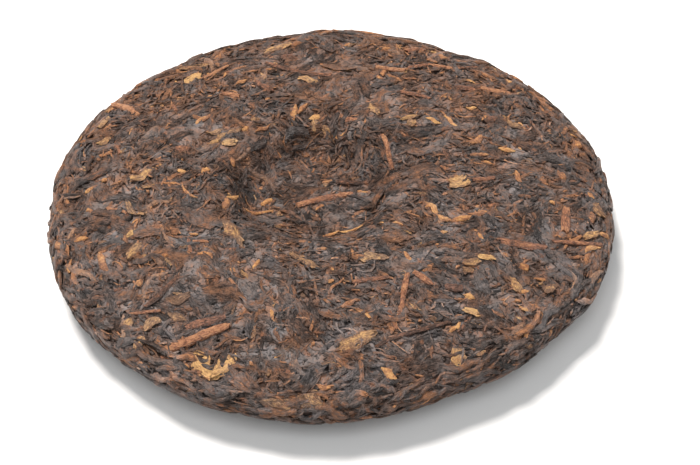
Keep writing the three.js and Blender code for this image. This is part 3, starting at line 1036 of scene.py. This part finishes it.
ROLLED_COUNT = 2000
LONGER_AT_RIM = 0.35
WIDER_AT_RIM = 0.4
rolled_rng = np.random.default_rng(23)
rolled_place = spread(rolled_rng, ROLLED_COUNT, rim_gain=3.0, felt_lift=-0.35)
rolled_at_rim = at_rim(rolled_place["way"])
rolled_place["lift"] += rolled_rng.uniform(-0.8, 0.4, ROLLED_COUNT) * rolled_at_rim
rolled_tone = leaf_tones(rolled_rng, rolled_place, 4.5, 6.6, 0.06)
rolled_shape = rolled_bits(
    rolled_rng,
    stations=8,
    ring=6,
    length=rolled_rng.uniform(4, 11, ROLLED_COUNT) * (1 + LONGER_AT_RIM * rolled_at_rim),
    width=rolled_rng.uniform(0.9, 2.2, ROLLED_COUNT) * (1 + WIDER_AT_RIM * rolled_at_rim),
    depth=(-0.45, 0.15),
    tone=rolled_tone,
    flatness=0.7,
)
rolled_material = leaf_material("rolled_leaf", DARK_LEAF, roughness=0.44, patchy=1.3, vein_scale=3.0)
bars("rolled_leaf", rolled_place, rolled_shape, rolled_rng, rolled_material, 70)


# Thick strips
# Whole young leaves, rolled up tight: thick, smooth and nearly black, with grey light on their backs.
# They lie thickest along the rim, some bent to hooks. Those that stand out lie where the photograph
# shows them.

# Pixels of both ends, width in millimetres and tone.
STRIPS_SEEN = [
    (133, 262, 163, 254, 3.4, 0.2),
    (66, 265, 96, 279, 2.4, 0.75),
    (114, 272, 150, 266, 2.4, 0.4),
    (142, 297, 151, 275, 2.0, 0.7),
    (151, 275, 169, 271, 2.0, 0.8),
    (96, 330, 101, 309, 2.0, 0.5),
    (102, 309, 112, 328, 2.0, 0.4),
    (114, 349, 137, 337, 4.2, 0.25),
    (136, 353, 192, 372, 2.8, 0.4),
    (86, 300, 112, 288, 2.2, 0.3),
    (74, 244, 88, 262, 2.0, 0.3),
    (62, 217, 80, 226, 1.8, 0.3),
    (474, 268, 489, 294, 4.6, 0.35),
    (508, 262, 520, 288, 2.4, 0.3),
    (556, 262, 578, 284, 2.4, 0.35),
    (524, 330, 560, 308, 2.6, 0.3),
    (505, 352, 533, 334, 2.8, 0.3),
    (341, 132, 346, 104, 1.8, 0.2),
    (282, 165, 303, 172, 3.2, 0.3),
    (258, 262, 288, 270, 3.4, 0.35),
    (240, 282, 262, 300, 4.0, 0.4),
    (186, 243, 214, 236, 2.4, 0.3),
    (461, 228, 480, 222, 3.4, 0.25),
    (500, 184, 507, 198, 3.0, 0.4),
    (571, 268, 574, 296, 2.2, 0.8),
    (65, 243, 74, 228, 2.2, 0.8),
    (160, 226, 173, 246, 1.2, 0.75),
    (142, 138, 160, 124, 5.0, 0.6),
    (63, 197, 80, 196, 1.2, 0.8),
    (150, 200, 176, 192, 2.4, 0.3),
    (252, 150, 268, 138, 4.0, 0.12),
    (284, 138, 310, 128, 5.0, 0.12),
    (292, 150, 310, 143, 3.0, 0.08),
    (325, 142, 340, 112, 3.0, 0.2),
    (355, 165, 366, 130, 3.2, 0.2),
    # This dark strip is painted shadow: it lies where the stick above it in the dent casts shade.
    (332, 206, 360, 206, 1.6, -0.1),
    (248, 212, 290, 216, 3.4, 0.35),
]
STRIP_COUNT = 330
PROUDER_ABOVE = 0.25
strip_rng = np.random.default_rng(29)
seen_place, seen_length, seen_width, seen_tone = places_seen(STRIPS_SEEN, lift=0.3, proud=0.9)
loose_strips = spread(strip_rng, STRIP_COUNT, rim_gain=4.0)
loose_strips["lift"] += strip_rng.uniform(-0.6, 0.3, STRIP_COUNT) * at_rim(loose_strips["way"])
loose_strips["proud"] += PROUDER_ABOVE * (loose_strips["way"] < SECTION_LENGTH / 2)
strip_shape = rolled_bits(
    strip_rng,
    stations=10,
    ring=8,
    length=then_drawn(strip_rng, seen_length, 6, 15, STRIP_COUNT),
    width=then_drawn(strip_rng, seen_width, 1.9, 3.4, STRIP_COUNT),
    depth=then_drawn(strip_rng, -0.15 * seen_width, -0.8, -0.2, STRIP_COUNT),
    tone=np.concatenate([seen_tone, leaf_tones(strip_rng, loose_strips, 2.4, 3.4, 0.03)]),
    flatness=0.6,
    lobes=0.12,
    twist=2.0,
    taper=0.3,
    bend=0.12,
)
GREY_LEAF = [
    (0.0, colour(46, 40, 38)),
    (0.3, colour(80, 71, 68)),
    (0.6, colour(108, 95, 89)),
    (0.85, colour(134, 112, 98)),
    (1.0, colour(158, 128, 104)),
]
grey_material = leaf_material(
    "grey_leaf", GREY_LEAF, roughness=0.42, sway=0.8, patchy=0.9, bump=0.9, vein_scale=2.6, tinge=0.4
)
bars("thick_strips", together(seen_place, loose_strips), strip_shape, strip_rng, grey_material, 70)


# Fibres
# Shreds of vein and torn leaf, brown, rust and tan. They lie over and between the larger bits, and
# sink in where the cake is smooth.

# How thick shreds are at their ends and how flat, as shares of the middle's width. Then how uneven
# they are: how far the thickness strays, how torn the ends are, how steep the shred is, and how much
# each point differs in tone.
SHRED_ENDS = 0.35
SHRED_FLATNESS = 0.55
SHRED_STRAY = 0.12
SHRED_TORN = 0.2
SHRED_STEEPNESS = 0.04
SHRED_TONE = 0.08


def thin_bits(rng, stations, length, width, depth, tone):
    """Shreds with a four-sided ring, bent in one curve, tapered to both ends."""
    count = len(tone)
    by_bit = (count, 1, 1)
    by_point = (count, stations, 4)
    long, wide = drawn(rng, length, count), drawn(rng, width, count)
    s = np.linspace(-0.5, 0.5, stations)[None, :, None]
    turn = np.pi - np.pi / 2 * np.arange(4)[None, None, :]
    half = wide * 0.5 * (SHRED_ENDS + (1 - SHRED_ENDS) * np.cos(np.pi * s * 0.95))
    half = half * (1 + rng.normal(0, SHRED_STRAY, (count, stations, 1)))
    along = s * long + rng.normal(0, SHRED_TORN, by_point) * wide
    across = rng.normal(0, BOW, by_bit) * long * (4 * s * s - 0.5) + half * np.cos(turn)
    above = drawn(rng, depth, count) + rng.normal(0, SHRED_STEEPNESS, by_bit) * s * long
    above = above + half * SHRED_FLATNESS * np.sin(turn)
    return along, across, above, drawn(rng, tone, count) + rng.normal(0, SHRED_TONE, by_point)


FIBRE_COUNT = 5400
fibre_rng = np.random.default_rng(24)
fibre_place = spread(fibre_rng, FIBRE_COUNT, felt_lift=-0.3)
fibre_tone = leaf_tones(fibre_rng, fibre_place, 2.6, 4.0, 0.06)
fibre_shape = thin_bits(
    fibre_rng, stations=5, length=(2.5, 8), width=(0.35, 0.95), depth=(-0.2, 0.35), tone=fibre_tone
)
BROWN_FIBRE = [
    (0.0, colour(54, 43, 37)),
    (0.35, colour(88, 71, 61)),
    (0.6, colour(116, 91, 75)),
    (0.8, colour(146, 110, 84)),
    (1.0, colour(180, 142, 106)),
]
fibre_material = leaf_material(
    "brown_fibre", BROWN_FIBRE, roughness=0.6, sway=1.0, patchy=1.2, bump=0.8, vein_scale=3.5
)
bars("leaf_fibres", fibre_place, fibre_shape, fibre_rng, fibre_material, 60)


# Stems
# Cut lengths of leaf stalk: round, straight, furrowed along and reddish brown. The ones that stand
# out lie where the photograph shows them.

# Pixels of both ends, width in millimetres and tone.
STEMS_SEEN = [
    (297, 204, 351, 191, 2.8, 0.72),
    (336, 182, 369, 181, 1.8, 0.15),
    (382, 133, 388, 148, 1.9, 0.9),
    (387, 147, 391, 168, 1.9, 0.65),
    (165, 349, 228, 325, 3.6, 0.8),
    (186, 326, 224, 316, 3.0, 0.45),
    (501, 239, 547, 247, 3.2, 0.6),
    (567, 207, 565, 231, 2.8, 0.7),
    (407, 273, 399, 313, 1.9, 0.65),
    (414, 271, 432, 283, 2.4, 0.7),
    (553, 241, 603, 246, 1.8, 0.5),
    (353, 281, 386, 276, 2.0, 0.5),
    (375, 345, 450, 322, 1.8, 0.05),
    (130, 313, 160, 310, 1.3, 0.6),
    (201, 78, 228, 65, 1.6, 1.0),
    (113, 104, 140, 113, 2.8, 0.95),
    (480, 87, 511, 92, 2.4, 0.85),
    (146, 308, 179, 273, 2.2, 0.2),
    (223, 92, 239, 95, 2.4, 0.7),
    (256, 81, 272, 90, 2.8, 0.4),
    (264, 63, 330, 74, 2.2, 0.35),
    (176, 147, 190, 148, 3.0, 0.5),
    (406, 50, 424, 48, 3.2, 0.5),
    (375, 66, 405, 69, 2.4, 0.9),
    (408, 67, 428, 63, 2.2, 0.5),
    (428, 63, 452, 67, 2.2, 0.75),
    (454, 86, 474, 88, 2.6, 0.35),
    (400, 91, 430, 97, 1.8, 0.5),
    (484, 121, 496, 116, 3.0, 0.3),
    (473, 179, 495, 177, 2.0, 0.5),
    (193, 240, 209, 240, 1.2, 0.7),
    (281, 56, 296, 56, 3.4, 0.3),
    (446, 286, 461, 288, 3.4, 0.25),
]
STEM_COUNT = 110
stem_rng = np.random.default_rng(25)
seen_place, seen_length, seen_width, seen_tone = places_seen(STEMS_SEEN, lift=0.4, proud=1.1)
stem_place = together(seen_place, spread(stem_rng, STEM_COUNT))
stem_shape = rolled_bits(
    stem_rng,
    stations=9,
    ring=8,
    length=then_drawn(stem_rng, seen_length, 5, 14, STEM_COUNT),
    width=then_drawn(stem_rng, seen_width, 1.2, 2.2, STEM_COUNT),
    depth=then_drawn(stem_rng, -0.1 * seen_width, -0.9, -0.3, STEM_COUNT),
    tone=then_drawn(stem_rng, seen_tone, -0.3, 0.7, STEM_COUNT),
    flatness=0.7,
    lobes=0.08,
    twist=0.5,
    taper=0.75,
    bend=0.03,
)
STEM_RED = [
    (0.0, colour(66, 48, 40)),
    (0.35, colour(104, 73, 58)),
    (0.7, colour(148, 98, 74)),
    (1.0, colour(182, 130, 94)),
]
stem_material = leaf_material(
    "red_stem", STEM_RED, roughness=0.5, sway=1.6, patchy=0.8, vein_scale=3.0, tinge=0.12
)
bars("stems", stem_place, stem_shape, stem_rng, stem_material, 60)


# Buds
# Leaf buds, the tips of the shoots: small spindles, downy, golden to orange tan. The ones that stand
# out lie where the photograph shows them.

# Pixels of both ends, width in millimetres and tone.
BUDS_SEEN = [
    (262, 204, 272, 197, 2.2, 0.6),
    (224, 207, 228, 197, 3.0, 0.4),
    (227, 196, 240, 196, 2.2, 0.8),
    (99, 252, 108, 272, 3.2, 0.3),
    (86, 207, 92, 212, 2.0, 0.4),
    (84, 192, 93, 186, 2.0, 0.7),
    (163, 181, 181, 183, 1.2, 0.4),
    (181, 183, 195, 197, 1.4, 0.5),
    (519, 266, 530, 265, 4.0, 0.4),
    (448, 331, 462, 322, 1.8, 0.8),
    (468, 154, 490, 153, 1.8, 0.3),
    (499, 147, 515, 150, 2.2, 0.8),
    (472, 143, 483, 134, 3.2, 0.35),
    (383, 367, 398, 382, 3.0, 0.8),
    (428, 200, 438, 214, 2.0, 0.7),
    (438, 214, 452, 220, 2.4, 0.6),
    (452, 220, 470, 215, 2.6, 0.5),
    (470, 214, 490, 210, 2.4, 0.3),
    (244, 207, 273, 209, 1.6, 0.5),
    (322, 235, 340, 230, 1.4, 0.6),
    (340, 230, 362, 224, 1.6, 0.8),
    (236, 82, 247, 79, 2.4, 0.6),
    (290, 44, 302, 41, 3.6, 0.3),
    (292, 124, 297, 104, 2.2, 0.6),
    (299, 113, 308, 102, 2.2, 0.4),
    (308, 118, 322, 116, 2.6, 1.0),
    (243, 129, 249, 126, 2.0, 0.7),
    (203, 120, 211, 113, 1.8, 0.4),
    (381, 48, 391, 47, 3.0, 0.5),
    (438, 53, 447, 57, 2.4, 0.4),
    (382, 75, 384, 68, 2.2, 0.4),
    (507, 78, 517, 84, 1.8, 0.8),
    (467, 107, 477, 106, 1.8, 0.9),
    (427, 116, 441, 122, 1.8, 0.95),
    (446, 114, 457, 126, 1.6, 0.7),
    (575, 139, 581, 147, 3.0, 0.4),
    (516, 170, 521, 181, 2.0, 0.4),
    (562, 170, 566, 180, 3.0, 0.3),
    (592, 211, 594, 221, 3.0, 0.3),
    (600, 232, 611, 240, 2.0, 0.6),
    (583, 250, 600, 247, 1.8, 0.5),
    (518, 291, 530, 291, 2.0, 0.5),
    (464, 293, 474, 297, 2.4, 0.7),
    (440, 230, 448, 231, 1.6, 0.8),
    (201, 171, 209, 167, 3.0, 0.6),
    (177, 168, 186, 171, 1.8, 0.9),
    (232, 156, 236, 167, 2.0, 0.4),
    (101, 181, 106, 177, 2.2, 0.5),
    (102, 155, 112, 150, 1.6, 0.5),
    (172, 233, 178, 229, 2.6, 0.3),
    (74, 240, 88, 236, 2.2, 0.5),
    (54, 243, 61, 247, 3.0, 0.4),
    (162, 254, 169, 253, 2.0, 0.4),
    (196, 254, 204, 250, 1.6, 0.5),
    (203, 250, 213, 257, 1.6, 0.4),
    (136, 284, 142, 280, 3.0, 0.5),
    (256, 130, 270, 124, 1.6, 0.3),
]
BUD_COUNT = 520
bud_rng = np.random.default_rng(26)
seen_place, seen_length, seen_width, seen_tone = places_seen(BUDS_SEEN, lift=0.3, proud=0.85)
bud_place = together(seen_place, spread(bud_rng, BUD_COUNT))
bud_shape = rolled_bits(
    bud_rng,
    stations=7,
    ring=8,
    length=then_drawn(bud_rng, seen_length, 2.5, 6.5, BUD_COUNT),
    width=then_drawn(bud_rng, seen_width, 0.9, 2.0, BUD_COUNT),
    depth=then_drawn(bud_rng, -0.1 * seen_width, -0.55, 0.0, BUD_COUNT),
    tone=then_drawn(bud_rng, seen_tone, -0.1, 0.75, BUD_COUNT),
    flatness=0.6,
    lobes=0.14,
    twist=2.5,
    taper=0.15,
)
GOLDEN_BUD = [
    (0.0, colour(106, 72, 52)),
    (0.35, colour(150, 97, 62)),
    (0.7, colour(184, 128, 78)),
    (1.0, colour(208, 160, 102)),
]
bud_material = leaf_material(
    "golden_bud", GOLDEN_BUD, roughness=0.7, sway=1.8, patchy=1.2, bump=0.9, vein_scale=4.0, tinge=0.12,
    sheen=0.1,
)
bars("buds", bud_place, bud_shape, bud_rng, bud_material, 60)


# Flakes
# Thin pale flakes of old, yellowed leaf, torn across and pressed flat. The ones that stand out lie
# where the photograph shows them.

# Pixels of both ends, width in millimetres and tone.
FLAKES_SEEN = [
    (224, 225, 243, 239, 5.0, 0.3),
    (291, 252, 317, 266, 3.6, 0.3),
    (363, 257, 386, 255, 3.4, 0.5),
    (451, 183, 469, 177, 6.0, 0.7),
    (466, 264, 478, 259, 2.6, 0.5),
    (480, 254, 493, 259, 2.2, 0.9),
    (464, 271, 473, 268, 3.0, 0.2),
    (128, 257, 138, 242, 3.0, 0.4),
    (126, 235, 137, 230, 2.6, 0.8),
    (132, 180, 154, 167, 3.2, 0.6),
    (141, 187, 153, 184, 2.4, 0.3),
    (194, 353, 208, 375, 6.0, 0.85),
    (205, 368, 221, 377, 5.0, 0.75),
    (216, 376, 231, 354, 5.2, 0.8),
    (166, 300, 190, 295, 3.6, 0.0),
    (168, 314, 186, 318, 2.6, 0.1),
    (144, 328, 159, 318, 3.4, 0.3),
    (124, 328, 132, 318, 3.0, 0.4),
    (134, 349, 144, 337, 3.0, 0.3),
    (340, 346, 376, 334, 4.6, 0.3),
    (458, 348, 461, 368, 4.8, 0.75),
    (465, 308, 480, 314, 3.4, 0.8),
    (184, 81, 201, 75, 4.0, 1.0),
    (266, 50, 291, 43, 3.6, 0.4),
    (180, 68, 206, 64, 3.0, 0.2),
    (594, 202, 606, 219, 3.0, 0.3),
    (514, 277, 518, 291, 3.0, 0.4),
    (547, 292, 555, 283, 3.0, 0.1),
    (268, 398, 288, 412, 6.0, 0.1),
    (301, 395, 318, 408, 5.0, 0.1),
    (98, 144, 111, 137, 3.0, 0.6),
    (100, 127, 108, 116, 3.0, 0.4),
    (299, 77, 317, 80, 3.0, 0.6),
    (207, 133, 220, 129, 2.6, 0.3),
    (212, 141, 226, 133, 2.6, 0.5),
    (222, 143, 237, 139, 3.2, 0.7),
    (226, 133, 242, 128, 2.2, 0.3),
    (314, 120, 317, 131, 3.0, 0.3),
    (506, 119, 520, 126, 3.0, 0.3),
    (402, 118, 416, 114, 2.2, 0.4),
    (407, 122, 416, 121, 3.0, 0.2),
    (369, 103, 378, 112, 2.4, 0.4),
    (584, 237, 598, 232, 3.0, 0.4),
    (126, 203, 141, 216, 1.8, 0.2),
    (322, 128, 334, 138, 3.0, 0.1),
]
FLAKE_COUNT = 420
FLAKE_DEPTH = 0.2
# The edges are darker, painted shade in the cracks round each flake, and hide a strip of it, so each flake is
# a little wider and paler than it shows.
FLAKE_WIDER = 0.4
FLAKE_PALER = 0.08
flake_rng = np.random.default_rng(27)
seen_place, seen_length, seen_width, seen_tone = places_seen(FLAKES_SEEN, lift=0.46, proud=0.7)
flake_place = together(seen_place, spread(flake_rng, FLAKE_COUNT))
flake_shape = flat_bits(
    flake_rng,
    stations=7,
    lines=6,
    length=then_drawn(flake_rng, seen_length, 1.8, 5.0, FLAKE_COUNT),
    width=then_drawn(flake_rng, seen_width + FLAKE_WIDER, 1.2, 2.8, FLAKE_COUNT),
    thickness=(0.4, 0.6),
    depth=then_drawn(flake_rng, np.full(len(FLAKES_SEEN), FLAKE_DEPTH), -0.3, 0.15, FLAKE_COUNT),
    relief=0.16,
    tone=then_drawn(flake_rng, seen_tone + FLAKE_PALER, -0.2, 0.6, FLAKE_COUNT),
    # The edges are darker: painted shade in the cracks round each flake.
    edges=(-0.5, -0.1),
)
YELLOW_FLAKE = [
    (0.0, colour(108, 80, 62)),
    (0.3, colour(144, 108, 78)),
    (0.65, colour(178, 136, 92)),
    (1.0, colour(206, 164, 108)),
]
flake_material = leaf_material(
    "yellow_flake", YELLOW_FLAKE, roughness=0.65, sway=2.4, patchy=1.2, vein_scale=3.0, tinge=0.12
)
bars("yellow_flakes", flake_place, flake_shape, flake_rng, flake_material, 60)


# Crumbs
# Broken leaf that fills the cracks between the larger bits, from dark brown to tan. It sinks in where
# the cake is smooth.
CRUMB_COUNT = 5000
crumb_rng = np.random.default_rng(28)
crumb_place = spread(crumb_rng, CRUMB_COUNT, felt_lift=-0.28)
crumb_tone = leaf_tones(crumb_rng, crumb_place, 1.6, 3.0, 0.08)
crumb_shape = thin_bits(
    crumb_rng, stations=3, length=(1.0, 3.0), width=(0.8, 2.0), depth=(-0.4, 0.2), tone=crumb_tone
)
crumb_material = leaf_material("leaf_crumb", BROWN_FIBRE, roughness=0.65, sway=1.0, patchy=1.2, bump=0.8)
bars("leaf_crumbs", crumb_place, crumb_shape, crumb_rng, crumb_material)


# The studio
# A plain pale floor under soft light. The stronger light stands behind the cake and to its left. A
# weaker, cooler and larger one stands in front.
FLOOR_REACH = 3
FLOOR_COLOUR = (0.72, 0.71, 0.7, 1)
FLOOR_ROUGHNESS = 0.8
SKY_COLOUR = (1.0, 0.98, 0.96, 1)
SKY_STRENGTH = 0.35
floor_mesh = bpy.data.meshes.new("floor")
floor_corners = [(FLOOR_REACH * x, FLOOR_REACH * y, 0) for x, y in ((-1, -1), (1, -1), (1, 1), (-1, 1))]
floor_mesh.from_pydata(floor_corners, [], [(0, 1, 2, 3)])
floor = bpy.data.objects.new("floor", floor_mesh)
bpy.context.scene.collection.objects.link(floor)
floor_material, tree, shader = new_material("floor")
shader.inputs["Base Color"].default_value = FLOOR_COLOUR
shader.inputs["Roughness"].default_value = FLOOR_ROUGHNESS
floor_mesh.materials.append(floor_material)


def soft_light(name, place, size, power, shade):
    """A square area light at the place, turned to face the middle of the cake."""
    data = bpy.data.lights.new(name, "AREA")
    data.color = shade
    data.shape = "SQUARE"
    data.size = size
    data.energy = power
    light = bpy.data.objects.new(name, data)
    bpy.context.scene.collection.objects.link(light)
    back = np.array(place) / np.linalg.norm(place)
    light.matrix_world = Matrix(looking(place, back).tolist())


soft_light("window", place=(-0.7, 0.9, 2.4), size=0.8, power=121.0, shade=(1.0, 0.965, 0.93))
soft_light("fill", place=(0.0, -1.7, 2.5), size=2.2, power=54.0, shade=(0.92, 0.965, 1.0))
world = bpy.data.worlds.new("world")
world.use_nodes = True
world.node_tree.nodes["Background"].inputs["Color"].default_value = SKY_COLOUR
world.node_tree.nodes["Background"].inputs["Strength"].default_value = SKY_STRENGTH
bpy.context.scene.world = world
bpy.context.scene.view_settings.view_transform = "Standard"
